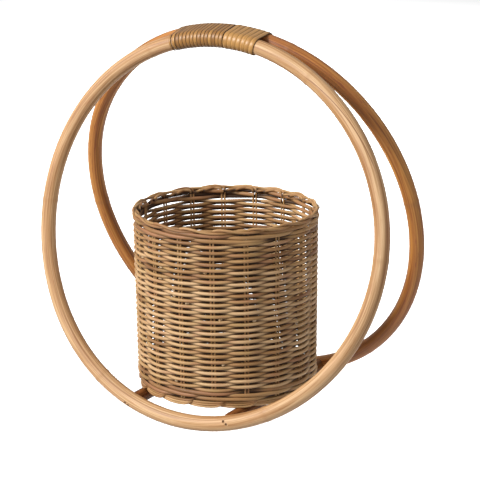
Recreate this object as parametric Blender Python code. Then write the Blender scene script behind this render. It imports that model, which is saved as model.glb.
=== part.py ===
# Hanging planter basket.
# Two round rattan hoops lean against each other at the top, where split cane binds them,
# and spread apart below. Two crossbars join them near the bottom and carry a woven basket.
# Metres, +Z up. The origin is the underside of the cane binding, midway between the poles,
# where a hook or a cord holds the whole thing. The front hoop is on -Y.

import math

import bmesh
import bpy
from mathutils import Vector

# Rattan poles
POLE_DIAMETER = 0.018
POLE_GAP = 0.0003
INTERNODE_LENGTH = 0.235
NODE_WIDTH = 0.006
NODE_HEIGHT = 0.0005

# How much lower the front pole crosses the top than the rear pole
TOP_STEP = 0.0047

# Front hoop
FRONT_RADIUS = 0.222
FRONT_TILT = math.radians(13.75)
FRONT_SHIFT = 0.0067
FRONT_BAR_DROP = 0.00066
FRONT_LOBE_SHARES = (0.0, -0.0103, 0.0, -0.0090)
FRONT_FIRST_NODE = 0.150

# Rear hoop, bent on the same former
REAR_RADIUS = FRONT_RADIUS
REAR_TILT = math.radians(14.55)
REAR_SHIFT = -0.0061
REAR_BAR_DROP = 0.00250
REAR_LOBE_SHARES = (0.0100, -0.0054, 0.0, 0.0048)
REAR_FIRST_NODE = 0.060

# Slanted lap that closes each hoop, under the binding
SCARF_LENGTH = 0.040
SCARF_GAP = 0.0006
SCARF_BLEND = 0.080
FRONT_SCARF_TURN = math.radians(-8.0)
REAR_SCARF_TURN = math.radians(6.0)

# Cane binding, in two runs
CANE_SEAT = 0.0005
FINE_CANE_WIDTH = 0.0038
FINE_CANE_THICKNESS = 0.0018
FINE_CANE_TURNS = 15
FINE_RUN_START = math.radians(-17.3)
FINE_RUN_END = math.radians(0.9)
WIDE_CANE_WIDTH = 0.0053
WIDE_CANE_THICKNESS = 0.0022
WIDE_CANE_TURNS = 7
WIDE_RUN_START = math.radians(2.0)
WIDE_RUN_END = math.radians(13.0)
CANE_FLAT_SHARE = 0.5
FLAT_POINT_SHARE = 1 / 3

# Crossbars
BAR_DIAMETER = 0.016
BAR_SPACING = 0.134
BAR_SHIFT = -0.005
COPE_DEPTH = 0.005
COPE_REACH = 0.016
FIT_GAP = 0.0003
CUT_OVERRUN = 0.004

# Brads
BRAD_DIAMETER = 0.0015
BRAD_HEAD_DIAMETER = 0.0026
BRAD_HEAD_THICKNESS = 0.0008
BRAD_TIP_LENGTH = 0.0025
BRAD_TIP_DIAMETER = 0.0004
BRAD_SET = 0.0006
BRAD_LENGTH = 0.032
BRAD_STEP_ACROSS = 0.0040
BRAD_STEP_DOWN = 0.0026
SEAT_BRAD_LENGTH = 0.021

# Basket
BASKET_FORWARD = 0.0057
FOOT_INSET = 0.0009
RIM_FLARE = 0.0028
WALL_THICKNESS = 0.0070
ROW_PITCH = 0.00343
ROW_COUNT = 52
WEAVE_RELIEF = 0.0030
WALE_ROW_PITCH = 0.0035
WALE_ROWS = 3
WALE_RELIEF = 0.0006
FOOT_BORDER_HEIGHT = 0.0085
FOOT_BORDER_WIDTH = 0.0090
FOOT_BORDER_INSET = 0.0025
FOOT_SCALLOP = 0.0012
RIM_BORDER_HEIGHT = 0.0062
RIM_BORDER_WIDTH = 0.0075
RIM_BORDER_INSET = 0.0006
RIM_SCALLOP = 0.0020
BORDER_SLANT = 0.0012

# Upright stakes, in pairs
STAKE_COUNT = 17
REED_DIAMETER = 0.0026
REED_SPACING = 0.0038

# Base
BASE_THICKNESS = 0.0060
BASE_EDGE = 0.0015
BASE_STICKS = 4
BASE_STICK_DIAMETER = 0.0030
BASE_STICK_PITCH = 0.0046
BASE_STICK_LAP = 0.0004

# How finely round things are divided
POLE_SIDES = 12
HOOP_STEPS = 72
CANE_ARC_POINTS = 8
SMALL_SIDES = 6
BAR_SIDES = 14
BORE_SIDES = 8
WALE_STEPS_PER_STAKE = 3
BORDER_STEPS_PER_SCALLOP = 4
BORDER_SIDES = 8
BASE_STEPS = 51
COPE_STEPS = 4
COPE_SIDES = 24
STATION_LEAST_STEP = 0.0015
TANGENT_STEP = math.radians(0.1)
SHARP_EDGE = math.radians(50)
SOLVER_ROUNDS = 12
MM_PER_M = 1000

POLE_RADIUS = POLE_DIAMETER / 2
BAR_RADIUS = BAR_DIAMETER / 2
REED_RADIUS = REED_DIAMETER / 2
UP = Vector((0.0, 0.0, 1.0))
FULL_TURN = 2 * math.pi

# Colour, roughness and how metallic each finish is
FINISHES = {
    "honey_rattan": ((0.66, 0.42, 0.22), 0.42, 0.0),
    "amber_rattan": ((0.52, 0.29, 0.13), 0.45, 0.0),
    "golden_cane": ((0.45, 0.24, 0.09), 0.28, 0.0),
    "straw_reed": ((0.50, 0.36, 0.22), 0.62, 0.0),
    "pale_reed": ((0.58, 0.44, 0.29), 0.60, 0.0),
    "dark_steel": ((0.10, 0.08, 0.07), 0.50, 0.9),
    "cutter": ((1.0, 0.0, 0.0), 1.0, 0.0),
}


def clear_objects():
    for old in list(bpy.data.objects):
        bpy.data.objects.remove(old, do_unlink=True)


def make_material(name):
    color, roughness, metallic = FINISHES[name]
    material = bpy.data.materials.new(name)
    material.use_nodes = True
    shader = material.node_tree.nodes["Principled BSDF"]
    shader.inputs["Base Color"].default_value = (*color, 1.0)
    shader.inputs["Roughness"].default_value = roughness
    shader.inputs["Metallic"].default_value = metallic
    return material


def finish_object(name, mesh_data, material):
    bmesh.ops.recalc_face_normals(mesh_data, faces=mesh_data.faces)
    mesh = bpy.data.meshes.new(name)
    mesh_data.to_mesh(mesh)
    mesh_data.free()
    mesh.materials.append(material)
    mesh.shade_smooth()
    mesh.set_sharp_from_angle(angle=SHARP_EDGE)
    item = bpy.data.objects.new(name, mesh)
    bpy.context.scene.collection.objects.link(item)
    return item


def make_cutter(name, mesh_data):
    cutter = finish_object(name, mesh_data, make_material("cutter"))
    cutter.hide_render = True
    cutter.display_type = "WIRE"
    return cutter


def combine(item, tool, operation):
    step = item.modifiers.new(tool.name, "BOOLEAN")
    step.operation = operation
    step.object = tool


def cut(item, cutter):
    combine(item, cutter, "DIFFERENCE")


def join(item, other):
    combine(item, other, "UNION")


def loft(mesh_data, loops, closed=False):
    """Skin a row of equal loops of points. An open row gets a cap at each end."""
    rows = [[mesh_data.verts.new(point) for point in loop] for loop in loops]
    pairs = list(zip(rows, rows[1:]))
    if closed:
        pairs.append((rows[-1], rows[0]))
    for row, following in pairs:
        for i, corner in enumerate(row):
            previous = row[i - 1]
            mesh_data.faces.new((previous, corner, following[i], following[i - 1]))
    if not closed:
        mesh_data.faces.new(rows[0])
        mesh_data.faces.new(reversed(rows[-1]))


def circle_loop(centre, across, along, radius, sides):
    loop = []
    for i in range(sides):
        angle = FULL_TURN * i / sides
        loop.append(centre + across * (radius * math.cos(angle)) + along * (radius * math.sin(angle)))
    return loop


def add_turned(mesh_data, start, direction, profile, sides):
    """Add a solid turned about a straight axis; profile holds (distance, radius) pairs."""
    direction = direction.normalized()
    across = direction.orthogonal().normalized()
    along = direction.cross(across)
    loops = [
        circle_loop(start + direction * distance, across, along, radius, sides)
        for distance, radius in profile
    ]
    loft(mesh_data, loops)


class Hoop:
    """A pole bent into a hand-made round, seen as a path that starts at the top."""

    def __init__(self, side, radius, tilt, shift, bar_drop, lobe_shares):
        self.side = side
        self.radius = radius
        self.tilt = tilt
        self.shift = shift
        self.bar_drop = bar_drop
        self.top = POLE_RADIUS + CANE_SEAT + FINE_CANE_THICKNESS + side * TOP_STEP / 2
        self.lobe_shares = lobe_shares
        self.plane_normal = Vector((0.0, math.cos(tilt), side * math.sin(tilt)))

    def radius_at(self, turn):
        oval_cos, oval_sin, three_cos, three_sin = self.lobe_shares
        lobes = oval_cos * math.cos(2 * turn) + oval_sin * math.sin(2 * turn)
        lobes += three_cos * math.cos(3 * turn) + three_sin * math.sin(3 * turn)
        return self.radius * (1 + lobes)

    def point(self, turn):
        radius = self.radius_at(turn)
        fall = self.radius_at(0.0) - radius * math.cos(turn)
        spread = POLE_RADIUS + POLE_GAP / 2 + fall * math.sin(self.tilt)
        return Vector((
            self.shift + radius * math.sin(turn),
            self.side * spread,
            self.top - fall * math.cos(self.tilt),
        ))

    def outward(self, turn):
        tangent = self.point(turn + TANGENT_STEP) - self.point(turn - TANGENT_STEP)
        return self.plane_normal.cross(tangent).normalized()

    def turn_at(self, x):
        """The turn, on the lower half, where the hoop passes over x."""
        turn = math.pi
        for _ in range(SOLVER_ROUNDS):
            turn += (self.point(turn).x - x) / self.radius
        return turn

    def turn_seen_at(self, angle, centre):
        """The turn, near the top, at this angle from straight up about the centre."""
        turn = angle
        for _ in range(SOLVER_ROUNDS):
            point = self.point(turn)
            turn += angle - math.atan2(point.x - centre.x, point.z - centre.z)
        return turn


front = Hoop(-1, FRONT_RADIUS, FRONT_TILT, FRONT_SHIFT, FRONT_BAR_DROP, FRONT_LOBE_SHARES)
rear = Hoop(1, REAR_RADIUS, REAR_TILT, REAR_SHIFT, REAR_BAR_DROP, REAR_LOBE_SHARES)

# Places that follow from the hoops
BAR_PLACES = {
    "left": BAR_SHIFT - BAR_SPACING / 2,
    "right": BAR_SHIFT + BAR_SPACING / 2,
}


def bar_meeting(hoop):
    """Where the crossbars' axes meet a hoop, midway between the two bars."""
    meeting = sum((hoop.point(hoop.turn_at(x)) for x in BAR_PLACES.values()), Vector()) / len(BAR_PLACES)
    return Vector((0.0, meeting.y, meeting.z - hoop.bar_drop))


# The crossbars run from hoop to hoop, and the basket stands square on them
BAR_START = bar_meeting(front)
REARWARD = (bar_meeting(rear) - BAR_START).normalized()
RIGHTWARD = Vector((1.0, 0.0, 0.0))
BASKET_UP = RIGHTWARD.cross(REARWARD)
FOOT_CENTRE = BAR_START + REARWARD * ((-BASKET_FORWARD - BAR_START.y) / REARWARD.y)
FOOT_CENTRE += BASKET_UP * (BAR_RADIUS + FIT_GAP)
FOOT_RADIUS = abs(front.point(math.pi).y) - BASKET_FORWARD - FOOT_INSET

# Heights up the basket, from its foot
FOOT_WALE_BOTTOM = FOOT_BORDER_HEIGHT + FIT_GAP
WALE_HEIGHT = WALE_ROW_PITCH * WALE_ROWS
WALL_BOTTOM = FOOT_WALE_BOTTOM + WALE_HEIGHT + FIT_GAP
WALL_TOP = WALL_BOTTOM + ROW_PITCH * ROW_COUNT
RIM_WALE_BOTTOM = WALL_TOP + FIT_GAP
RIM_BORDER_BOTTOM = RIM_WALE_BOTTOM + WALE_HEIGHT + FIT_GAP
RIM_HEIGHT = RIM_BORDER_BOTTOM + RIM_BORDER_HEIGHT
STAKE_ANGLE = FULL_TURN / STAKE_COUNT
GROOVE_HALF_WIDTH = REED_SPACING / 2 + REED_RADIUS + FIT_GAP
GROOVE_DEPTH = REED_DIAMETER + FIT_GAP


def wall_radius(z):
    """Outer radius of the woven wall, which widens towards the rim."""
    return FOOT_RADIUS + RIM_FLARE * z / RIM_HEIGHT


def basket_place(right, back, up):
    return FOOT_CENTRE + RIGHTWARD * right + REARWARD * back + BASKET_UP * up


def basket_point(angle, radius, z):
    """A point round the basket; angle zero is the front and angles grow towards +X."""
    return basket_place(radius * math.sin(angle), -radius * math.cos(angle), z)


def node_swell(arc, first_node):
    offset = (arc - first_node + INTERNODE_LENGTH / 2) % INTERNODE_LENGTH - INTERNODE_LENGTH / 2
    return NODE_HEIGHT * max(0.0, 1 - abs(offset) / (NODE_WIDTH / 2))


def hoop_stations(hoop, length, first_node):
    """Even stations along the pole, with three more at each node."""
    arcs = [length * i / HOOP_STEPS for i in range(HOOP_STEPS + 1)]
    node = first_node
    while node < length - SCARF_BLEND:
        arcs += [node - NODE_WIDTH / 2, node, node + NODE_WIDTH / 2]
        node += INTERNODE_LENGTH
    arcs.sort()
    kept = [arcs[0]]
    for arc in arcs[1:]:
        if arc - kept[-1] > STATION_LEAST_STEP:
            kept.append(arc)
    kept[-1] = length
    return kept


def make_hoop(name, hoop, scarf_turn, first_node, material):
    length = FULL_TURN * hoop.radius - SCARF_GAP * SCARF_LENGTH / POLE_DIAMETER
    loops = []
    for arc in hoop_stations(hoop, length, first_node):
        from_end = min(arc, length - arc)
        lean = SCARF_LENGTH / POLE_DIAMETER * max(0.0, 1 - from_end / SCARF_BLEND)
        radius = POLE_RADIUS + node_swell(arc, first_node)
        loop = []
        for i in range(POLE_SIDES):
            angle = FULL_TURN * i / POLE_SIDES
            slide = lean * radius * math.cos(angle)
            turn = scarf_turn + (arc + slide) / hoop.radius
            offset = hoop.outward(turn) * math.cos(angle) + hoop.plane_normal * math.sin(angle)
            loop.append(hoop.point(turn) + offset * radius)
        loops.append(loop)
    mesh_data = bmesh.new()
    loft(mesh_data, loops)
    return finish_object(name, mesh_data, material)


def binding_frame(angle):
    """Centre of the two poles at this angle, the way across them, the way out, half their spread."""
    centre = (front.point(0.0) + rear.point(0.0)) / 2 - UP * FRONT_RADIUS
    first = front.point(front.turn_seen_at(angle, centre))
    second = rear.point(rear.turn_seen_at(angle, centre))
    across = (second - first).normalized()
    tangent = Vector((math.cos(angle), 0.0, -math.sin(angle)))
    outward = tangent.cross(across).normalized() * -1
    return (first + second) / 2, across, outward, (second - first).length / 2


def turn_places():
    """One turn of cane round both poles, as (side of the flat, angle on the round) pairs."""
    places = [(-FLAT_POINT_SHARE, -math.pi / 2), (FLAT_POINT_SHARE, -math.pi / 2)]
    for i in range(CANE_ARC_POINTS):
        places.append((1.0, -math.pi / 2 + math.pi * i / (CANE_ARC_POINTS - 1)))
    places += [(FLAT_POINT_SHARE, math.pi / 2), (-FLAT_POINT_SHARE, math.pi / 2)]
    for i in range(CANE_ARC_POINTS):
        places.append((-1.0, math.pi / 2 + math.pi * i / (CANE_ARC_POINTS - 1)))
    return places


def cane_path(start, end, turns, thickness):
    """Points and outward directions of one unbroken winding round both poles."""
    places = turn_places()
    count = len(places) * turns + 2
    radius = POLE_RADIUS + CANE_SEAT + thickness / 2
    points = []
    normals = []
    for i in range(count):
        side, angle = places[i % len(places)]
        centre, across, outward, spread = binding_frame(start + (end - start) * i / (count - 1))
        normal = across * math.cos(angle) + outward * math.sin(angle)
        points.append(centre + across * (side * spread) + normal * radius)
        normals.append(normal)
    return points, normals


def cane_section(width, thickness):
    """Flat oval outline of split cane, as (along the poles, outward) pairs."""
    half = width / 2
    shoulder = half * CANE_FLAT_SHARE
    return [
        (-half, 0.0), (-shoulder, -thickness / 2), (shoulder, -thickness / 2),
        (half, 0.0), (shoulder, thickness / 2), (-shoulder, thickness / 2),
    ]


def least_gap(loops, points_per_turn):
    """Smallest distance between the points of neighbouring turns."""
    least = math.inf
    for i, loop in enumerate(loops[:-points_per_turn]):
        for other in loops[i + points_per_turn - 1:i + points_per_turn + 2]:
            least = min(least, min((a - b).length for a in loop for b in other))
    return least


def make_winding(name, start, end, turns, width, thickness, material):
    points, normals = cane_path(start, end, turns, thickness)
    section = cane_section(width, thickness)
    loops = []
    for i, (point, normal) in enumerate(zip(points, normals)):
        before = points[max(i - 1, 0)]
        after = points[min(i + 1, len(points) - 1)]
        sideways = (after - before).cross(normal).normalized()
        loops.append([point + sideways * along + normal * out for along, out in section])
    gap = least_gap(loops, len(turn_places()))
    print(f"{name}: least gap to itself {gap * MM_PER_M:.2f} mm")
    mesh_data = bmesh.new()
    loft(mesh_data, loops)
    return finish_object(name, mesh_data, material)


def brad_offsets():
    half_across = BRAD_STEP_ACROSS / 2
    half_down = BRAD_STEP_DOWN / 2
    return ((-half_across, half_down), (half_across, -half_down))


def brad_profile(length):
    shank = BRAD_DIAMETER / 2
    head = BRAD_HEAD_DIAMETER / 2
    return [
        (0.0, head), (BRAD_HEAD_THICKNESS, head), (BRAD_HEAD_THICKNESS, shank),
        (length - BRAD_TIP_LENGTH, shank), (length, BRAD_TIP_DIAMETER / 2),
    ]


def bore_profile(length):
    """Room for a brad: a pocket for its head, then a hole for its shank."""
    shank = BRAD_DIAMETER / 2 + FIT_GAP
    head = BRAD_HEAD_DIAMETER / 2 + FIT_GAP
    floor = BRAD_HEAD_THICKNESS + FIT_GAP
    return [(-CUT_OVERRUN, head), (floor, head), (floor, shank), (length + FIT_GAP, shank)]


def brad_starts(hoop, x):
    """Where the two brads of a joint start, on the outer face of the hoop."""
    starts = []
    for across, up in brad_offsets():
        base = BAR_START + RIGHTWARD * (x + across) + BASKET_UP * up
        to_pole = hoop.point(hoop.turn_at(x + across)) - base
        depth = math.sqrt(POLE_RADIUS ** 2 - to_pole.dot(BASKET_UP) ** 2) - BRAD_SET
        starts.append(base + REARWARD * (to_pole.dot(REARWARD) + hoop.side * depth))
    return starts


def make_brads(name, starts, direction, length, material):
    """A pair of brads, each its own piece, and one cutter with the bores they sit in."""
    bores = bmesh.new()
    for letter, start in zip(("a", "b"), starts):
        brad = bmesh.new()
        add_turned(brad, start, direction, brad_profile(length), SMALL_SIDES)
        finish_object(f"{name}_{letter}", brad, material)
        add_turned(bores, start, direction, bore_profile(length), BORE_SIDES)
    return make_cutter(name + "_bores", bores)


def make_cope(name, hoop, x):
    """The stretch of hoop, a little fatter, that shapes the end of a crossbar."""
    middle = hoop.turn_at(x)
    reach = COPE_REACH / hoop.radius
    loops = []
    for i in range(COPE_STEPS + 1):
        turn = middle + reach * (2 * i / COPE_STEPS - 1)
        loops.append(circle_loop(
            hoop.point(turn), hoop.outward(turn), hoop.plane_normal, POLE_RADIUS + FIT_GAP, COPE_SIDES
        ))
    mesh_data = bmesh.new()
    loft(mesh_data, loops)
    return make_cutter(name, mesh_data)


def bar_end(hoop, x):
    """How far along its axis a crossbar ends at this hoop."""
    to_pole = hoop.point(hoop.turn_at(x)) - BAR_START
    return to_pole.dot(REARWARD) - hoop.side * (POLE_RADIUS - COPE_DEPTH)


def make_bar(name, x, material):
    base = BAR_START + RIGHTWARD * x
    profile = [(bar_end(front, x), BAR_RADIUS), (bar_end(rear, x), BAR_RADIUS)]
    mesh_data = bmesh.new()
    add_turned(mesh_data, base, REARWARD, profile, BAR_SIDES)
    bar = finish_object(name, mesh_data, material)
    cut(bar, make_cope(name + "_front_cope", front, x))
    cut(bar, make_cope(name + "_rear_cope", rear, x))
    return bar


def border_middle_radius():
    return FOOT_RADIUS - FOOT_BORDER_INSET - FOOT_BORDER_WIDTH / 2


def seat_brad_starts(x):
    """Under a crossbar, where its two brads go up into the foot border."""
    reach = math.sqrt(border_middle_radius() ** 2 - x ** 2)
    underside = -FIT_GAP - BAR_DIAMETER + BRAD_SET
    return [basket_place(x, side * reach, underside) for side in (-1, 1)]


def make_ring(name, sections, material):
    mesh_data = bmesh.new()
    loft(mesh_data, sections, closed=True)
    return finish_object(name, mesh_data, material)


def groove_steps():
    """Angles across one stake space, each with how deep the stake groove is there."""
    inner_radius = FOOT_RADIUS - WALL_THICKNESS
    mouth = (GROOVE_HALF_WIDTH + FIT_GAP) / inner_radius
    floor = GROOVE_HALF_WIDTH / inner_radius
    middle = (STAKE_ANGLE / 2 + mouth) / 2
    return [
        (-middle, 0.0), (-mouth, 0.0), (-floor, GROOVE_DEPTH),
        (floor, GROOVE_DEPTH), (mouth, 0.0), (middle, 0.0),
    ]


def add_stroke(mesh_data, corners, over):
    """Two triangles between one row and the next, split so that a stroke over a stake stands alone."""
    a, b, c, d = corners
    for triangle in ((a, b, d), (b, c, d)) if over else ((a, b, c), (a, c, d)):
        mesh_data.faces.new(triangle)


def make_weave():
    """A drum whose side is one weaver, spiralling up over one pair of stakes and behind the next.
    The pairs are odd in number, so each row's strokes fall between those of the row below."""
    steps = STAKE_COUNT * (ROW_COUNT - 1)
    drum = bmesh.new()
    weaver = []
    for step in range(steps + 1):
        z = WALL_BOTTOM + ROW_PITCH * (step / STAKE_COUNT + 1 / 2)
        over = step % 2
        radius = wall_radius(z) - WEAVE_RELIEF * (1 - over)
        weaver.append(drum.verts.new(basket_point(step * STAKE_ANGLE, radius, z)))
    for i in range(steps - STAKE_COUNT):
        above = i + STAKE_COUNT
        add_stroke(drum, (weaver[i], weaver[i + 1], weaver[above + 1], weaver[above]), i % 2)
    for z, row in ((WALL_BOTTOM, weaver[:STAKE_COUNT + 1]), (WALL_TOP, weaver[-STAKE_COUNT - 1:])):
        radius = wall_radius(z) - WEAVE_RELIEF / 2
        edge = [drum.verts.new(basket_point(i * STAKE_ANGLE, radius, z)) for i in range(STAKE_COUNT)]
        for i in range(STAKE_COUNT):
            add_stroke(drum, (row[i], row[i + 1], edge[(i + 1) % STAKE_COUNT], edge[i]), i % 2)
        drum.faces.new((edge[0], row[0], row[-1]))
        drum.faces.new(edge)
    return drum


def make_hollow():
    """The space inside the wall, with a groove at its side for each pair of stakes."""
    loops = []
    for z in (WALL_BOTTOM - CUT_OVERRUN, WALL_TOP + CUT_OVERRUN):
        loops.append([
            basket_point(stake * STAKE_ANGLE + offset, wall_radius(z) - WALL_THICKNESS + depth, z)
            for stake in range(STAKE_COUNT)
            for offset, depth in groove_steps()
        ])
    hollow = bmesh.new()
    loft(hollow, loops)
    return hollow


def make_wall(name, material):
    wall = finish_object(name, make_weave(), material)
    cut(wall, make_cutter(name + "_hollow", make_hollow()))
    return wall


def make_wale(name, bottom, material):
    """A band of thicker twisted rows, rounded row by row on the outside."""
    count = STAKE_COUNT * WALE_STEPS_PER_STAKE
    inner = wall_radius(bottom) - WALL_THICKNESS + GROOVE_DEPTH
    outline = [(inner, bottom)]
    for row in range(WALE_ROWS):
        low = bottom + row * WALE_ROW_PITCH
        outline.append((wall_radius(low) - WALE_RELIEF, low))
        outline.append((wall_radius(low), low + WALE_ROW_PITCH / 2))
    top = bottom + WALE_HEIGHT
    outline += [(wall_radius(top) - WALE_RELIEF, top), (inner, top)]
    sections = []
    for i in range(count):
        angle = FULL_TURN * i / count
        sections.append([basket_point(angle, radius, z) for radius, z in outline])
    return make_ring(name, sections, material)


def make_border(name, seat, height, outer_radius, width, scallop, material):
    """A scalloped plaited edge: one bulge for each pair of stakes, flat where it meets the wale.
    A negative height makes it hang below its seat."""
    count = STAKE_COUNT * BORDER_STEPS_PER_SCALLOP
    steepest = math.sin(FULL_TURN * (BORDER_SIDES / 4 - 0.5) / BORDER_SIDES)
    sections = []
    for i in range(count):
        share = (i % BORDER_STEPS_PER_SCALLOP) / BORDER_STEPS_PER_SCALLOP
        arch = math.sin(math.pi * share)
        angle = FULL_TURN * i / count
        rise = height - math.copysign(scallop * (1 - arch), height)
        middle = outer_radius - width / 2 - BORDER_SLANT * math.sin(FULL_TURN * share) / 2
        half = width / 2 - BORDER_SLANT / 2
        loop = []
        for side in range(BORDER_SIDES):
            around = FULL_TURN * (side + 0.5) / BORDER_SIDES
            lift = (1 + math.sin(around) / steepest) / 2
            loop.append(basket_point(angle, middle + half * math.cos(around), seat + rise * lift))
        sections.append(loop)
    return make_ring(name, sections, material)


def make_stakes(material):
    """Pairs of upright reeds, side by side in their grooves."""
    low = FOOT_WALE_BOTTOM
    high = RIM_BORDER_BOTTOM - FIT_GAP
    inset = WALL_THICKNESS - REED_RADIUS
    for stake in range(STAKE_COUNT):
        angle = stake * STAKE_ANGLE
        aside = RIGHTWARD * math.cos(angle) + REARWARD * math.sin(angle)
        for letter, side in (("a", -1), ("b", 1)):
            offset = aside * (side * REED_SPACING / 2)
            start = basket_point(angle, wall_radius(low) - inset, low) + offset
            end = basket_point(angle, wall_radius(high) - inset, high) + offset
            profile = [(0.0, REED_RADIUS), ((end - start).length, REED_RADIUS)]
            mesh_data = bmesh.new()
            add_turned(mesh_data, start, end - start, profile, SMALL_SIDES)
            finish_object(f"stake_{stake + 1:02d}_{letter}", mesh_data, material)


def base_inner_radius():
    return wall_radius(FOOT_WALE_BOTTOM) - WALL_THICKNESS - FIT_GAP


def make_base(name, material):
    """The woven round that closes the bottom, turned from its half outline."""
    radius = base_inner_radius()
    low = FOOT_WALE_BOTTOM
    high = low + BASE_THICKNESS
    outline = [
        (radius - BASE_EDGE, low), (radius, low + BASE_EDGE),
        (radius, high - BASE_EDGE), (radius - BASE_EDGE, high),
    ]
    mesh_data = bmesh.new()
    rows = []
    for step in range(BASE_STEPS):
        angle = FULL_TURN * step / BASE_STEPS
        rows.append([mesh_data.verts.new(basket_point(angle, r, z)) for r, z in outline])
    for row, following in zip(rows, rows[1:] + rows[:1]):
        for i in range(len(outline) - 1):
            mesh_data.faces.new((row[i], row[i + 1], following[i + 1], following[i]))
    mesh_data.faces.new([row[0] for row in rows])
    mesh_data.faces.new([row[-1] for row in rows])
    return finish_object(name, mesh_data, material)


def make_slath(name, material):
    """The crossing sticks that the base is woven round, four pierced by four others."""
    inside = border_middle_radius() - FOOT_BORDER_WIDTH / 2 - FIT_GAP
    radius = BASE_STICK_DIAMETER / 2
    height = FOOT_WALE_BOTTOM - FIT_GAP - radius
    slath = None
    for direction, lowering in ((RIGHTWARD, 0.0), (REARWARD, BASE_STICK_LAP)):
        aside = BASKET_UP.cross(direction)
        for i in range(BASE_STICKS):
            offset = (i - (BASE_STICKS - 1) / 2) * BASE_STICK_PITCH
            half = math.sqrt(inside ** 2 - (abs(offset) + radius) ** 2)
            start = basket_place(0.0, 0.0, height - lowering) + aside * offset - direction * half
            stick = bmesh.new()
            add_turned(stick, start, direction, [(0.0, radius), (2 * half, radius)], SMALL_SIDES)
            if slath is None:
                slath = finish_object(name, stick, material)
            else:
                join(slath, make_cutter(f"{name}_stick_{len(slath.modifiers)}", stick))
    return slath


def make_basket(wicker, pale_reed):
    make_wall("basket_wall", wicker)
    make_wale("rim_wale", RIM_WALE_BOTTOM, wicker)
    make_wale("foot_wale", FOOT_WALE_BOTTOM, wicker)
    make_border(
        "rim_border", RIM_BORDER_BOTTOM, RIM_BORDER_HEIGHT,
        wall_radius(RIM_HEIGHT) - RIM_BORDER_INSET, RIM_BORDER_WIDTH, RIM_SCALLOP, wicker,
    )
    foot_border = make_border(
        "foot_border", FOOT_BORDER_HEIGHT, -FOOT_BORDER_HEIGHT,
        FOOT_RADIUS - FOOT_BORDER_INSET, FOOT_BORDER_WIDTH, FOOT_SCALLOP, wicker,
    )
    make_stakes(pale_reed)
    make_base("base_round", wicker)
    make_slath("base_slath", pale_reed)
    return foot_border


def build():
    clear_objects()
    pole = make_material("honey_rattan")
    shaded_pole = make_material("amber_rattan")
    cane = make_material("golden_cane")
    wicker = make_material("straw_reed")
    pale_reed = make_material("pale_reed")
    steel = make_material("dark_steel")

    front_hoop = make_hoop("front_hoop", front, FRONT_SCARF_TURN, FRONT_FIRST_NODE, pole)
    rear_hoop = make_hoop("rear_hoop", rear, REAR_SCARF_TURN, REAR_FIRST_NODE, shaded_pole)
    make_winding(
        "fine_cane_binding", FINE_RUN_START, FINE_RUN_END, FINE_CANE_TURNS,
        FINE_CANE_WIDTH, FINE_CANE_THICKNESS, cane,
    )
    make_winding(
        "wide_cane_binding", WIDE_RUN_START, WIDE_RUN_END, WIDE_CANE_TURNS,
        WIDE_CANE_WIDTH, WIDE_CANE_THICKNESS, cane,
    )
    foot_border = make_basket(wicker, pale_reed)
    for side, x in BAR_PLACES.items():
        bar = make_bar(side + "_crossbar", x, shaded_pole)
        for hoop, item, place in ((front, front_hoop, "front"), (rear, rear_hoop, "rear")):
            inward = REARWARD * -hoop.side
            bores = make_brads(f"{place}_{side}_brad", brad_starts(hoop, x), inward, BRAD_LENGTH, steel)
            cut(item, bores)
            cut(bar, bores)
        seat_bores = make_brads(side + "_seat_brad", seat_brad_starts(x), BASKET_UP, SEAT_BRAD_LENGTH, steel)
        cut(bar, seat_bores)
        cut(foot_border, seat_bores)


build()
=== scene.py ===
import math
from random import Random

import bpy
from mathutils import Matrix, Vector


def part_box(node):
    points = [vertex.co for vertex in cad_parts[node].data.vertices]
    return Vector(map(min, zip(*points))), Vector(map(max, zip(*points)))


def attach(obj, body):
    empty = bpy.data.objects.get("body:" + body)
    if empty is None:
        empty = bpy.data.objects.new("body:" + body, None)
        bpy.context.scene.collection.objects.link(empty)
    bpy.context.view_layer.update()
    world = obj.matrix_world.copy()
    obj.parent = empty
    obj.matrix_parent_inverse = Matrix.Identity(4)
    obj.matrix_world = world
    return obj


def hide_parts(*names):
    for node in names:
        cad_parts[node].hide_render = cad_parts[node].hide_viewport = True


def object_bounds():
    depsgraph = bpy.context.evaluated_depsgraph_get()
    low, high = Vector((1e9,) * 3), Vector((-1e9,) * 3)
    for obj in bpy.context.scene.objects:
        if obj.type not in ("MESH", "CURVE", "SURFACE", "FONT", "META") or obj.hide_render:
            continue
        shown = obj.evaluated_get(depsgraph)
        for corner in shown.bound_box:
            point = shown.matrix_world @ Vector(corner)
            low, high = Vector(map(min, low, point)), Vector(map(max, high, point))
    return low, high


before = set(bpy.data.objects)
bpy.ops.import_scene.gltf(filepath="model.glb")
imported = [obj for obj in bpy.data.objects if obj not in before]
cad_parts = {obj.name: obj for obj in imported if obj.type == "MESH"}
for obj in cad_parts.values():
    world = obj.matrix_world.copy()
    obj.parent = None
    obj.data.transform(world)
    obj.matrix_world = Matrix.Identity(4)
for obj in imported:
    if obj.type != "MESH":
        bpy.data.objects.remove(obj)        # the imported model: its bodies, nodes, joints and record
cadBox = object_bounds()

fullTurn = 2 * math.pi
body = "root"
poleRadius = 0.009
sharpAngle = math.radians(50)    # edges sharper than this aren't shaded smooth
layout = {"columns": 14, "width": 200, "height": 240}    # how nodes are laid out in a tree
seedStep = {"wander": 7.3, "girth": 3.1}    # keeps a strand's noises apart
roughBand = (0.2, 0.8)    # how much of a noise roughens a skin


# Node trees

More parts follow.
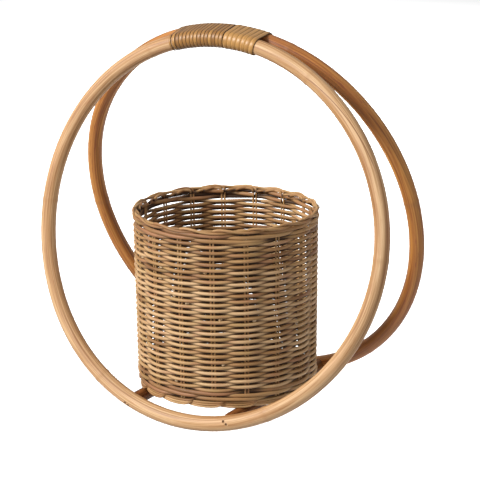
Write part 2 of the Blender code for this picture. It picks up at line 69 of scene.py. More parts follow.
class Field:
    # a socket of a node tree that plain arithmetic works on
    def __init__(self, graph, socket):
        self.graph = graph
        self.socket = socket

    def math(self, operation, *others):
        return self.graph.make("ShaderNodeMath", [self, *others], operation=operation)

    def also(self, output):
        return Field(self.graph, self.socket.node.outputs[output])

    def __add__(self, other):
        return self.math("ADD", other)

    def __sub__(self, other):
        return self.math("SUBTRACT", other)

    def __rsub__(self, other):
        return self.math("MULTIPLY_ADD", -1.0, other)

    def __mul__(self, other):
        return self.math("MULTIPLY", other)

    def __truediv__(self, other):
        return self.math("DIVIDE", other)

    def __rtruediv__(self, other):
        return self.graph.make("ShaderNodeMath", [other, self], operation="DIVIDE")

    def __mod__(self, other):
        return self.math("FLOORED_MODULO", other)

    def clamped(self, low, high):
        return self.math("MAXIMUM", low).math("MINIMUM", high)

    __radd__ = __add__
    __rmul__ = __mul__


def sine(value):
    return value.math("SINE") if isinstance(value, Field) else math.sin(value)


def cosine(value):
    return value.math("COSINE") if isinstance(value, Field) else math.cos(value)


def dashed(name):
    return name.replace("_", "-")


def label(key):
    # bendRadius reads Bend Radius on the modifier
    return key[0].upper() + "".join(" " + letter if letter.isupper() else letter for letter in key[1:])


class Graph:
    # a node tree, built by calls
    def __init__(self, tree):
        self.tree = tree

    def make(self, kind, inputs=(), output=0, **settings):
        node = self.tree.nodes.new(kind)
        row, column = divmod(len(self.tree.nodes), layout["columns"])
        node.location = (layout["width"] * column, -layout["height"] * row)
        for setting, value in settings.items():
            setattr(node, setting, value)
        pairs = inputs.items() if isinstance(inputs, dict) else enumerate(inputs)
        for key, value in pairs:
            self.feed(node.inputs[key], value)
        return Field(self, node.outputs[output])

    def feed(self, socket, value):
        if isinstance(value, Field):
            self.tree.links.new(value.socket, socket)
        else:
            socket.default_value = value

    def vector(self, x, y, z):
        return self.make("ShaderNodeCombineXYZ", [x, y, z])

    def vectorMath(self, operation, *others):
        return self.make("ShaderNodeVectorMath", others, operation=operation)

    def parts(self, vector):
        # its x; also(1) and also(2) are its y and z
        return self.make("ShaderNodeSeparateXYZ", [vector])

    def scaled(self, vector, factor):
        return self.make("ShaderNodeVectorMath", {0: vector, "Scale": factor}, operation="SCALE")


class GeometryGraph(Graph):
    # a geometry tree with a named input for each size
    def __init__(self, name, sizes):
        super().__init__(bpy.data.node_groups.new(name, "GeometryNodeTree"))
        face = self.tree.interface
        face.new_socket(name="Geometry", in_out="OUTPUT", socket_type="NodeSocketGeometry")
        face.new_socket(name="Geometry", in_out="INPUT", socket_type="NodeSocketGeometry")
        for key, value in sizes.items():
            kind = "NodeSocketInt" if isinstance(value, int) else "NodeSocketFloat"
            face.new_socket(name=label(key), in_out="INPUT", socket_type=kind)
        face.new_socket(name="Finish", in_out="INPUT", socket_type="NodeSocketMaterial")
        entry = self.make("NodeGroupInput")
        self.given = entry
        self.inputs = {key: entry.also(label(key)) for key in sizes}
        self.index = self.make("GeometryNodeInputIndex")
        self.position = self.make("GeometryNodeInputPosition")

    def store(self, geometry, name, value, kind="FLOAT", domain="POINT"):
        inputs = {"Geometry": geometry, "Name": name, "Value": value}
        return self.make("GeometryNodeStoreNamedAttribute", inputs, data_type=kind, domain=domain)

    def named(self, name, kind="FLOAT"):
        return self.make("GeometryNodeInputNamedAttribute", {"Name": name}, data_type=kind)

    def moved(self, geometry, **change):
        inputs = {name.capitalize(): value for name, value in change.items()}
        return self.make("GeometryNodeSetPosition", {"Geometry": geometry, **inputs})

    def noise(self, seed, scale, detail, output=0):
        inputs = {"Vector": self.position, "W": seed, "Scale": scale, "Detail": detail}
        return self.make("ShaderNodeTexNoise", inputs, output, noise_dimensions="4D")

    def wander(self, geometry, amount, size, seed):
        # nothing made by hand runs quite true
        shift = self.noise(seed * seedStep["wander"], 1.0 / size, 1.0, output=1)
        centred = self.vectorMath("SUBTRACT", shift, (0.5, 0.5, 0.5))
        return self.moved(geometry, offset=self.scaled(centred, amount * 2.0))

    def faced(self, curve, normal):
        return self.make("GeometryNodeSetCurveNormal", {"Curve": curve, "Normal": normal}, mode="FREE")

    def sweep(self, curve, depth, width, sides, scale):
        # carries a section along a curve; grain runs along the strand (x) and round it (y, z), in metres
        along = self.make("GeometryNodeSplineParameter", output="Length")
        curve = self.store(curve, "along", along)
        section = self.make("GeometryNodeCurvePrimitiveCircle", {"Resolution": sides, "Radius": 0.5})
        spread = self.vectorMath("MULTIPLY", self.position, self.vector(depth, width, 0.0))
        section = self.moved(section, position=spread)
        section = self.store(section, "round", self.position, "FLOAT_VECTOR")
        inputs = {"Curve": curve, "Profile Curve": section, "Scale": scale, "Fill Caps": True}
        tube = self.make("GeometryNodeCurveToMesh", inputs)
        about = self.parts(self.named("round", "FLOAT_VECTOR"))
        grain = self.vector(self.named("along"), about, about.also(1))
        tube = self.store(tube, "grain", grain, "FLOAT_VECTOR")
        for name in ("along", "round"):
            tube = self.make("GeometryNodeRemoveAttribute", {"Geometry": tube, "Name": name})
        return self.make("GeometryNodeSetShadeSmooth", {"Geometry": tube, "Shade Smooth": True})

    def finish(self, geometry):
        real = self.make("GeometryNodeRealizeInstances", [geometry])
        inputs = {"Geometry": real, "Material": self.given.also("Finish")}
        painted = self.make("GeometryNodeSetMaterial", inputs)
        self.feed(self.tree.nodes.new("NodeGroupOutput").inputs[0], painted)
        return self.tree


def grow(name, tree, sizes, finish, mesh=None, cutters=()):
    # runs a tree on a mesh, cuts the result, and keeps it as a plain mesh
    holder = bpy.data.objects.new(name + "Holder", mesh or bpy.data.meshes.new(name))
    bpy.context.collection.objects.link(holder)
    modifier = holder.modifiers.new("grown", "NODES")
    modifier.node_group = tree
    sockets = {item.name: item.identifier for item in tree.interface.items_tree if item.in_out == "INPUT"}
    for key, value in sizes.items():
        modifier[sockets[label(key)]] = value
    modifier[sockets["Finish"]] = finish
    for cutter in cutters:
        cut = holder.modifiers.new(cutter.name, "BOOLEAN")
        cut.operation = "DIFFERENCE"
        cut.solver = "EXACT"
        cut.object = cutter
    depsgraph = bpy.context.evaluated_depsgraph_get()
    solid = bpy.data.meshes.new_from_object(
        holder.evaluated_get(depsgraph), preserve_all_data_layers=True, depsgraph=depsgraph)
    solid.name = name
    solid.set_sharp_from_angle(angle=sharpAngle)
    bpy.data.objects.remove(holder)
    piece = bpy.data.objects.new(name, solid)
    bpy.context.collection.objects.link(piece)
    return piece


def place(piece, slot, *nodes):
    # the piece rides on the one body and stands for its nodes
    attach(piece, body)
    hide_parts(*nodes)
    print(f"{piece.name}: {len(piece.data.polygons)} faces")


# Finishes

class MaterialGraph(Graph):
    def __init__(self, name):
        self.material = bpy.data.materials.new(name)
        self.material.use_nodes = True
        super().__init__(self.material.node_tree)
        self.shader = self.tree.nodes["Principled BSDF"]

    def attribute(self, name, output="Vector"):
        return self.make("ShaderNodeAttribute", output=output, attribute_name=name)

    def noises(self, look):
        # a look gives each noise as (stretch along the grain, stretch across it, detail, shift)
        grain = self.attribute("grain")
        made = {}
        for key, (along, across, detail, shift) in look["noises"].items():
            shift += look["shift"]
            vector = self.vectorMath("MULTIPLY_ADD", grain, (along, across, across), (shift, shift, shift))
            made[key] = self.make("ShaderNodeTexNoise", {"Vector": vector, "Scale": 1.0, "Detail": detail})
        return made

    def ramp(self, factor, stops):
        ramp = self.make("ShaderNodeValToRGB", [factor])
        elements = ramp.socket.node.color_ramp.elements
        while len(elements) < len(stops):
            elements.new(0.5)
        for element, (position, colour) in zip(elements, stops):
            element.position = position
            element.color = opaque(colour)
        return ramp

    def band(self, factor, low, high):
        # 0 below low, 1 above high
        inputs = {"Value": factor, "From Min": low, "From Max": high}
        return self.make("ShaderNodeMapRange", inputs, interpolation_type="SMOOTHSTEP")

    def mix(self, factor, first, second, blend="MIX"):
        inputs = {0: factor, 6: first, 7: opaque(second) if isinstance(second, tuple) else second}
        return self.make("ShaderNodeMix", inputs, 2, data_type="RGBA", blend_type=blend)

    def ground(self, factor, look):
        # the colours that the stops name, blended along a noise
        return self.ramp(factor, [(position, look[key]) for key, position in look["stops"].items()])

    def patched(self, colour, noises, look):
        # a colour with a band shows where its noise lies in it
        for key, (noise, low, high) in look["bands"].items():
            share = self.band(noises[noise], low, high) * look[key + "Share"]
            colour = self.mix(share, colour, look[key])
        return colour

    def tinted(self, colour, noise, look):
        # darker where the noise is low
        low, high = look["tintBand"]
        tint = self.ramp(noise, [(low, look["tint"]), (high, (1.0, 1.0, 1.0))])
        return self.mix(look["tintShare"], colour, tint, "MULTIPLY")

    def apply(self, **sockets):
        for name, value in sockets.items():
            self.feed(self.shader.inputs[label(name)], value)
        return self.material

    def finished(self, colour, rough, relief, look):
        rough = rough * look["roughVaries"] + look["roughness"]
        inputs = {"Height": relief, "Distance": look["reliefDepth"], "Strength": look["reliefShare"]}
        return self.apply(baseColor=colour, roughness=rough, normal=self.make("ShaderNodeBump", inputs))


def opaque(colour):
    return (*colour, 1.0)


def grainLine(graph, line):
    # a dark line on the skin, drawn between two places along and round the pole
    along = graph.parts(graph.attribute("grain"))
    around = (0.0 - along.also(2)).math("ARCTAN2", 0.0 - along.also(1))
    share = (along - line["from"]) / (line["to"] - line["from"])
    apart = (around - math.radians(line["angle"]) - share * math.radians(line["twist"])).math("ABSOLUTE")
    ends = graph.band(share, 0.0, line["fadeIn"]) * graph.band(share, 1.0, 1.0 - line["fadeOut"])
    return graph.band(apart, line["width"] / poleRadius, 0.0) * ends * line["depth"]


def rattanFinish(name, look):
    # steamed rattan: long fibres, soft patches, dark grain lines and rings at the nodes
    graph = MaterialGraph(name)
    noises = graph.noises(look)
    fibres = noises["fibres"]
    colour = graph.patched(graph.ground(noises["broad"], look), noises, look)
    for noise in (noises["streaks"], fibres):
        colour = graph.tinted(colour, noise, look)
    dark = graph.band(noises["lines"], *look["lineBand"]) * look["lineShare"]
    for line in look["grainLines"]:
        dark = dark.math("MAXIMUM", grainLine(graph, line))
    colour = graph.mix(dark, colour, look["line"])
    colour = graph.mix(graph.attribute("knuckle", "Fac") * look["knuckleShare"], colour, look["knuckle"])
    # painted shade: the bars are darkened below
    height = graph.parts(graph.make("ShaderNodeTexCoord", output="Object")).also(2)
    paintedShade = graph.band(height, look["paintedShadeTop"], look["paintedShadeTop"] - look["paintedShadeFade"]) * look["paintedShadeShare"]
    colour = graph.mix(paintedShade, colour, look["line"])
    graph.shader.inputs["Specular IOR Level"].default_value = look["specular"]
    relief = fibres * look["fibreRelief"] + dark * look["lineRelief"]
    return graph.finished(colour, graph.band(fibres, *roughBand), relief, look)


skinLine = {"width": 0.0010, "depth": 0.95, "fadeIn": 0.12, "fadeOut": 0.15}
honeyLook = {
    "noises": {
        "broad": (3.2, 150.0, 2.0, 0.0), "patches": (10.0, 50.0, 3.0, 3.7),
        "streaks": (7.0, 420.0, 2.0, 1.3), "fibres": (20.0, 1100.0, 3.0, 0.0),
        "lines": (2.4, 300.0, 1.0, 8.1), "spots": (60.0, 420.0, 2.0, 6.2),
    },
    "stops": {"deep": 0.30, "middle": 0.47, "pale": 0.66},
    "bands": {
        "blush": ("patches", 0.50, 0.72), "pale": ("patches", 0.46, 0.30), "spot": ("spots", 0.62, 0.72),
    },
    "pale": (0.74, 0.505, 0.285), "middle": (0.645, 0.40, 0.20), "deep": (0.49, 0.27, 0.112),
    "blush": (0.62, 0.31, 0.165), "blushShare": 0.6, "paleShare": 0.4,
    "spot": (0.55, 0.25, 0.13), "spotShare": 0.35,
    "tint": (0.68, 0.56, 0.45), "tintBand": (0.36, 0.56), "tintShare": 0.9,
    "line": (0.22, 0.082, 0.026), "lineBand": (0.635, 0.70), "lineShare": 0.5,
    "knuckle": (0.40, 0.20, 0.08), "knuckleShare": 0.3,
    "paintedShadeTop": 0.0, "paintedShadeFade": 0.008, "paintedShadeShare": 0.0, "specular": 0.5,
    "roughness": 0.44, "roughVaries": 0.16, "fibreRelief": 0.5, "lineRelief": -0.6,
    "reliefDepth": 0.0002, "reliefShare": 0.5, "shift": 0.0,
    "grainLines": [{**skinLine, "from": 0.110, "to": 0.262, "angle": 6.0, "twist": -59.0}],
}
amberLook = {
    **honeyLook, "roughness": 0.42, "shift": 21.0,
    "pale": (0.62, 0.295, 0.074), "middle": (0.47, 0.19, 0.042), "deep": (0.29, 0.108, 0.024),
    "blush": (0.46, 0.17, 0.06), "paleShare": 0.35, "knuckle": (0.28, 0.12, 0.045),
    "spot": (0.30, 0.085, 0.035), "spotShare": 0.6, "line": (0.17, 0.065, 0.02), "lineShare": 0.7,
    "grainLines": [
        {**skinLine, "from": 0.194, "to": 0.302, "angle": -45.0, "twist": -13.0, "width": 0.0007,
         "depth": 0.8},
    ],
}
# the bars: the rear hoop's rattan with its colours darkened as painted shade; the line colour also paints
# the shade below
shadedBarLook = {
    **amberLook, "shift": 47.0, "specular": 0.12, "paintedShadeTop": -0.4085, "paintedShadeShare": 0.7, "grainLines": [],
    "pale": (0.30, 0.130, 0.034), "middle": (0.20, 0.080, 0.019), "deep": (0.105, 0.038, 0.010),
    "line": (0.05, 0.02, 0.0065), "lineShare": 0.5,
}


def caneFinish(name, look):
    # glossy split cane: fine lines, and a tone that drifts from turn to turn
    graph = MaterialGraph(name)
    noises = graph.noises(look)
    streaks = noises["streaks"]
    colour = graph.tinted(graph.ground(noises["drift"], look), streaks, look)
    colour = graph.patched(colour, noises, look)
    # painted shade: the strip is darkened below and where it crosses between the poles
    worn = graph.attribute("paintedCaneShade", "Fac") * look["paintedCaneShadeShare"]
    colour = graph.mix(worn, colour, look["paintedCaneShade"])
    # painted shade: the strip's edges are darkened where neighbouring turns meet
    side = graph.parts(graph.attribute("grain")).also(2).math("ABSOLUTE")
    edge = graph.band(side, look["edge"], look["edge"] * look["edgeFade"])
    colour = graph.mix(edge, colour, look["seam"])
    graph.shader.inputs["Coat Weight"].default_value = look["coat"]
    graph.shader.inputs["Coat Roughness"].default_value = look["coatRoughness"]
    return graph.finished(colour, graph.band(streaks, *roughBand), streaks, look)


caneLook = {
    "noises": {
        "drift": (9.0, 25.0, 2.0, 0.0), "streaks": (14.0, 900.0, 3.0, 0.0),
        "spots": (160.0, 260.0, 2.0, 5.0),
    },
    "stops": {"deep": 0.16, "middle": 0.46, "pale": 0.66}, "bands": {"deep": ("spots", 0.64, 0.74)},
    "pale": (0.50, 0.255, 0.060), "middle": (0.36, 0.165, 0.033), "deep": (0.115, 0.043, 0.009),
    "deepShare": 0.5, "tint": (0.62, 0.56, 0.50), "tintBand": (0.3, 0.62), "tintShare": 0.8,
    "seam": (0.024, 0.008, 0.0015), "edge": 0.0019, "edgeFade": 1.2, "paintedCaneShade": (0.145, 0.062, 0.011),
    "paintedCaneShadeShare": 0.8, "roughness": 0.40, "roughVaries": 0.18, "coat": 0.3, "coatRoughness": 0.36,
    "reliefDepth": 0.0002, "reliefShare": 0.5, "shift": 2.0,
}
wideCaneLook = {
    **caneLook, "pale": (0.68, 0.385, 0.12), "middle": (0.52, 0.265, 0.068), "edge": 0.0026, "coat": 0.35,
    "paintedCaneShade": (0.19, 0.085, 0.016), "shift": 12.0,
}


def reedFinish(name, look):
    # unpeeled reed: dull fibre lines, and lengths of tan, straw and pinkish brown
    graph = MaterialGraph(name)
    noises = graph.noises(look)
    fibres = noises["fibres"]
    tone = graph.attribute("tone", "Fac")
    where = (noises["lengths"] - 0.5) * look["lengthShare"] + 0.5 + (tone - 0.5) * look["toneShare"]
    colour = graph.patched(graph.ground(where, look), noises, look)
    colour = graph.tinted(colour, fibres, look)
    # painted shade where the skin faces into the wall, on undersides and at the hidden ends of strands
    nook = graph.band(graph.attribute("nook", "Fac"), *look["paintedHollowShadeBand"]) * look["paintedHollowShadeShare"]
    colour = graph.mix(nook, colour, look["nook"])
    return graph.finished(colour, graph.band(fibres, *roughBand), fibres, look)


reedLook = {
    "noises": {
        "lengths": (5.0, 8.0, 2.0, 0.0), "patches": (24.0, 90.0, 3.0, 2.0),
        "fibres": (45.0, 1700.0, 3.0, 0.0), "green": (21.0, 60.0, 2.0, 9.0),
    },
    "stops": {"brown": 0.22, "tan": 0.42, "straw": 0.60, "pale": 0.82},
    "bands": {
        "sage": ("green", 0.52, 0.68), "blush": ("patches", 0.50, 0.66), "stain": ("patches", 0.40, 0.24),
    },
    "pale": (0.67, 0.44, 0.232), "straw": (0.53, 0.315, 0.132), "tan": (0.39, 0.205, 0.077),
    "brown": (0.25, 0.118, 0.043), "blush": (0.43, 0.205, 0.10), "blushShare": 0.7,
    "sage": (0.42, 0.29, 0.105), "sageShare": 0.35, "stain": (0.20, 0.10, 0.038), "stainShare": 0.55,
    "tint": (0.66, 0.60, 0.54), "tintBand": (0.30, 0.60), "tintShare": 0.7,
    "nook": (0.035, 0.014, 0.005), "paintedHollowShadeBand": (0.30, 0.88), "paintedHollowShadeShare": 0.95, "lengthShare": 2.8,
    "toneShare": 0.5, "roughness": 0.52, "roughVaries": 0.15, "reliefDepth": 0.0002, "reliefShare": 0.6,
    "shift": 4.0,
}
stakeLook = {**reedLook, "shift": 31.0, "tan": (0.53, 0.315, 0.135), "brown": (0.41, 0.225, 0.088)}
cutLook = {
    **reedLook, "shift": 63.0, "pale": (0.80, 0.62, 0.42), "straw": (0.72, 0.53, 0.33),
    "tan": (0.62, 0.42, 0.23),
}


def steelFinish(name, look):
    # brad heads, brown with rust
    graph = MaterialGraph(name)
    rust = graph.noises(look)["rust"]
    graph.shader.inputs["Metallic"].default_value = look["metallic"]
    return graph.finished(graph.ground(rust, look), rust, rust, look)


steelLook = {
    "noises": {"rust": (700.0, 900.0, 3.0, 0.0)}, "stops": {"dark": 0.35, "worn": 0.65},
    "dark": (0.12, 0.060, 0.028), "worn": (0.26, 0.14, 0.07), "metallic": 0.5, "roughness": 0.38,
    "roughVaries": 0.35, "reliefDepth": 0.00005, "reliefShare": 0.4, "shift": 0.0,
}

honeyRattan = rattanFinish("honeyRattan", honeyLook)
amberRattan = rattanFinish("amberRattan", amberLook)
barRattan = rattanFinish("barRattan", shadedBarLook)
goldenCane = caneFinish("goldenCane", caneLook)
broadCane = caneFinish("broadCane", wideCaneLook)
strawReed = reedFinish("strawReed", reedLook)
paleReed = reedFinish("paleReed", stakeLook)
cutReed = reedFinish("cutReed", cutLook)
darkSteel = steelFinish("darkSteel", steelLook)
print("finishes made")


# Hoops

frontHoop = {
    "side": -1.0, "bendRadius": 0.222, "tilt": math.radians(13.75), "shift": 0.0067, "top": 0.00895,
    "ovalCos": 0.0, "ovalSin": -0.0103, "trefoilCos": 0.0, "trefoilSin": -0.0090,
    "poleRadius": poleRadius, "poleGap": 0.0003, "scarfTurn": math.radians(-8.0), "firstNode": 0.150,
    "internode": 0.235, "nodeWidth": 0.0030, "nodeHeight": 0.0003, "unevenness": 0.00016,
    "bumpsPerMetre": 18.0, "steps": 720, "sides": 32, "seed": 3,
}
rearHoop = {
    **frontHoop, "side": 1.0, "tilt": math.radians(14.55), "shift": -0.0061, "top": 0.01365,
    "ovalCos": 0.0100, "ovalSin": -0.0054, "trefoilSin": 0.0048, "scarfTurn": math.radians(6.0),
    "firstNode": 0.060, "seed": 8,
}


def hoopPoint(hoop, turn):
    # turn 0 is the top and grows to the right; works on numbers and on node fields alike
    oval = hoop["ovalCos"] * cosine(turn * 2.0) + hoop["ovalSin"] * sine(turn * 2.0)
    trefoil = hoop["trefoilCos"] * cosine(turn * 3.0) + hoop["trefoilSin"] * sine(turn * 3.0)
    radius = hoop["bendRadius"] * (1.0 + oval + trefoil)
    topRadius = hoop["bendRadius"] * (1.0 + hoop["ovalCos"] + hoop["trefoilCos"])
    fall = topRadius - radius * cosine(turn)
    spread = hoop["poleRadius"] + hoop["poleGap"] / 2.0 + fall * sine(hoop["tilt"])
    return (
        hoop["shift"] + radius * sine(turn),
        hoop["side"] * spread,
        hoop["top"] - fall * cosine(hoop["tilt"]),
    )


def buildPoleTree(sizes):
    graph = GeometryGraph("bentPole", sizes)
    given = graph.inputs
    ring = graph.make("GeometryNodeCurvePrimitiveCircle", {"Resolution": given["steps"], "Radius": 1.0})
    turn = graph.index * fullTurn / given["steps"]
    # the cutters that cope the bars are fatter poles on the same centre line
    centreLine = {**given, "poleRadius": sizes["poleRadius"]}
    ring = graph.moved(ring, position=graph.vector(*hoopPoint(centreLine, turn)))
    facing = graph.vector(0.0, cosine(given["tilt"]), given["side"] * sine(given["tilt"]))
    ring = graph.faced(ring, facing)
    arc = ((turn - given["scarfTurn"]) % fullTurn) * given["bendRadius"]
    halfway = given["internode"] / 2.0
    toNode = (arc - given["firstNode"] + halfway) % given["internode"] - halfway
    nearness = toNode / given["nodeWidth"]
    knuckle = (0.0 - nearness * nearness).math("EXPONENT")
    noise = graph.noise(given["seed"], given["bumpsPerMetre"], 2.0)
    swell = given["nodeHeight"] * knuckle + given["unevenness"] * (noise - 0.5) * 2.0
    ring = graph.store(ring, "knuckle", knuckle)
    thickness = given["poleRadius"] * 2.0
    tube = graph.sweep(ring, thickness, thickness, given["sides"], 1.0 + swell / given["poleRadius"])
    return graph.finish(tube)


poleTree = buildPoleTree(frontHoop)


# Strands that follow a drawn route, alone or repeated round the basket

routeSizes = {
    "thickness": 0.0026, "sides": 8, "copies": 1, "copyAngle": 0.0, "centreBack": 0.0,
    "wander": 0.0, "wanderSize": 0.05, "hiddenEnds": 0.0, "hiddenShare": 0.09, "seed": 1,
}


def buildRouteTree(sizes):
    graph = GeometryGraph("routedStrands", sizes)
    given = graph.inputs
    route = graph.make("GeometryNodeMeshToCurve", [graph.given.also("Geometry")])
    centre = graph.vector(0.0, given["centreBack"], 0.0)
    spots = graph.make("GeometryNodePoints", {"Count": given["copies"], "Position": centre})
    turned = graph.vector(0.0, 0.0, graph.index * given["copyAngle"])
    inputs = {"Points": spots, "Instance": route, "Rotation": turned}
    copies = graph.make("GeometryNodeInstanceOnPoints", inputs)
    strands = graph.make("GeometryNodeRealizeInstances", [copies])
    strands = graph.wander(strands, given["wander"], given["wanderSize"], given["seed"])
    inputs = {2: 0.0, 3: 1.0, "ID": graph.index, "Seed": given["seed"]}
    tone = graph.make("FunctionNodeRandomValue", inputs, 1)
    strands = graph.store(strands, "tone", tone, domain="CURVE")
    # painted shade: the ends go under other strands and are darkened there
    share = graph.make("GeometryNodeSplineParameter")
    toEnd = share.math("MINIMUM", 1.0 - share) / given["hiddenShare"]
    strands = graph.store(strands, "nook", given["hiddenEnds"] * (1.0 - toEnd).clamped(0.0, 1.0))
    scale = graph.named("girth")
    tube = graph.sweep(strands, given["thickness"], given["thickness"], given["sides"], scale)
    return graph.finish(tube)


routeTree = buildRouteTree(routeSizes)


def routeMesh(name, routes):
    # each route is a list of (point, girth) pairs
    mesh = bpy.data.meshes.new(name)
    points = [point for route in routes for point, girth in route]
    edges = []
    start = 0
    for route in routes:
        edges += [(start + i, start + i + 1) for i in range(len(route) - 1)]
        start += len(route)
    mesh.from_pydata(points, edges, [])
    girths = mesh.attributes.new("girth", "FLOAT", "POINT")
    girths.data.foreach_set("value", [girth for route in routes for point, girth in route])
    return mesh


def makeStrands(name, sizes, finish, routes, slot, *nodes):
    place(grow(name, routeTree, sizes, finish, routeMesh(name, routes)), slot, *nodes)


def smoothed(points, steps):
    # a curve through given points
    last = len(points) - 1
    curve = []
    for i in range(last):
        a, b, c, d = (Vector(points[min(max(k, 0), last)]) for k in (i - 1, i, i + 1, i + 2))
        for step in range(steps):
            t = step / steps
            curve.append(0.5 * ((2 * b) + (c - a) * t + (2 * a - 5 * b + 4 * c - d) * t ** 2
                                + (3 * b - a - 3 * c + d) * t ** 3))
    curve.append(Vector(points[last]))
    return curve


# Brads: the frame says where each one lies, and its wide end is the head

brad = {
    "diameter": 0.0015, "head": 0.0026, "headDepth": 0.0008, "dome": 0.0003, "tip": 0.0025, "sides": 16,
}
pocket = {"diameter": 0.0031, "depth": 0.0011, "overrun": 0.003, "sides": 24}
bradNodes = sorted(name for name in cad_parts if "_brad_" in name)


def bradEnds(node):
    # the middles of a brad's head and of its tip
    corners = [vertex.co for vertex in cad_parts[node].data.vertices]
    low, high = (Vector(corner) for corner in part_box(node))
    size = high - low
    axis = max(range(3), key=lambda i: size[i])
    ends = []
    for edge in (low[axis], high[axis]):
        there = [corner for corner in corners if abs(corner[axis] - edge) < brad["headDepth"] / 4]
        centre = sum(there, Vector()) / len(there)
        ends.append((max((corner - centre).length for corner in there), centre))
    ends.sort(key=lambda end: -end[0])
    return ends[0][1], ends[1][1]


def bradRoute(node):
    head, tip = bradEnds(node)
    length = (tip - head).length
    way = (tip - head).normalized()
    shank = brad["diameter"] / brad["head"]
    # metres from the head's face, and the share of the head's width there
    profile = [
        (-brad["dome"], 0.30), (-0.6 * brad["dome"], 0.72), (0.0, 1.0), (brad["headDepth"], 1.0),
        (brad["headDepth"] * 1.05, shank), (length - brad["tip"], shank), (length, 0.16),
    ]
    return [(head + way * along, girth) for along, girth in profile]


def pocketRoute(node):
    head, tip = bradEnds(node)
    way = (tip - head).normalized()
    return [(head - way * pocket["overrun"], 1.0), (head + way * pocket["depth"], 1.0)]


def makeBrads():
    sizes = {**routeSizes, "thickness": brad["head"], "sides": brad["sides"]}
    routes = [bradRoute(node) for node in bradNodes]
    makeStrands("brads", sizes, darkSteel, routes, "brad_steel", *bradNodes)


def makePockets():
    sizes = {**routeSizes, "thickness": pocket["diameter"], "sides": pocket["sides"]}
    mesh = routeMesh("pockets", [pocketRoute(node) for node in bradNodes])
    return grow("pockets", routeTree, sizes, darkSteel, mesh)


pockets = makePockets()


def makeHoop(name, hoop, finish):
    pole = grow(dashed(name) + "-pole", poleTree, hoop, finish, cutters=[pockets])
    place(pole, "pole_rattan", name)


makeHoop("front_hoop", frontHoop, honeyRattan)
makeHoop("rear_hoop", rearHoop, amberRattan)


# Crossbars, hollowed at their ends to sit against the hoops

crossbar = {
    "diameter": 0.016, "height": -0.4126, "nodeHeight": 0.02, "nodeReach": 0.004, "seatGap": 0.0001,
    "rings": 90, "sides": 32,
}
crossbars = {
    "left_crossbar": {"across": -0.072, "node": 0.72},
    "right_crossbar": {"across": 0.062, "node": 0.38},
}


def makeCope(name, hoop):
    # a slightly fatter pole that hollows the bars' ends
    fatter = hoop["poleRadius"] + crossbar["seatGap"]
    sizes = {**hoop, "poleRadius": fatter, "nodeHeight": 0.0, "unevenness": 0.0}
    return grow(name, poleTree, sizes, honeyRattan)


def makeCrossbars():
    copes = [makeCope("frontCope", frontHoop), makeCope("rearCope", rearHoop)]
    for name, bar in crossbars.items():
        low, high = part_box(name)
        length = high[1] - low[1]
        route = []
        for i in range(crossbar["rings"] + 1):
            back = low[1] + length * i / crossbar["rings"]
            toNode = (back - low[1] - bar["node"] * length) / crossbar["nodeReach"]
            girth = 1 + crossbar["nodeHeight"] * math.exp(-toNode ** 2)
            route.append(((bar["across"], back, crossbar["height"]), girth))
        sizes = {**routeSizes, "thickness": crossbar["diameter"], "sides": crossbar["sides"]}
        piece = grow(dashed(name) + "-pole", routeTree, sizes, barRattan, routeMesh(name, [route]),
                     cutters=[*copes, pockets])
        place(piece, "bar_rattan", name)
    for cope in copes:
        bpy.data.objects.remove(cope)


makeCrossbars()
makeBrads()
bpy.data.objects.remove(pockets)


# Cane bindings

cane = {"stations": 90, "tries": 12}
fineArc = (math.radians(-17.1), math.radians(1.6))      # from the top of the hoops, growing to the right
wideArc = (math.radians(1.95), math.radians(12.55))
fineCane = {
    "turns": 15.0, "width": 0.0051, "thickness": 0.0013, "reach": 0.0092, "stepsPerTurn": 40, "sides": 12,
    "tail": 0.35, "tailGain": 0.35, "topShade": 0.4, "sideShade": 1.4, "bellyShade": 1.25,
    "bellyMore": 0.05, "wander": 0.00022, "wanderSize": 0.012, "seed": 5,
}
wideCane = {**fineCane, "turns": 7.0, "width": 0.0064, "thickness": 0.0017, "tail": 1.0, "seed": 9}


def turnSeenAt(hoop, angle, centre):
    # the turn of the hoop that is seen at this angle from the centre
    turn = angle
    for step in range(cane["tries"]):
        point = Vector(hoopPoint(hoop, turn)) - centre
        turn += angle - math.atan2(point.x, point.z)
    return turn


def bindingStation(angle):
    # middle of the two poles, the way across them, the way down from them, and half their spread
    tops = [Vector(hoopPoint(hoop, 0.0)) for hoop in (frontHoop, rearHoop)]
    centre = (tops[0] + tops[1]) / 2 - Vector((0, 0, frontHoop["bendRadius"]))
    first, second = (Vector(hoopPoint(hoop, turnSeenAt(hoop, angle, centre)))
                     for hoop in (frontHoop, rearHoop))
    across = (second - first).normalized()
    down = across.cross(Vector((math.cos(angle), 0.0, -math.sin(angle)))).normalized()
    return (first + second) / 2, across, down, (second - first).length / 2


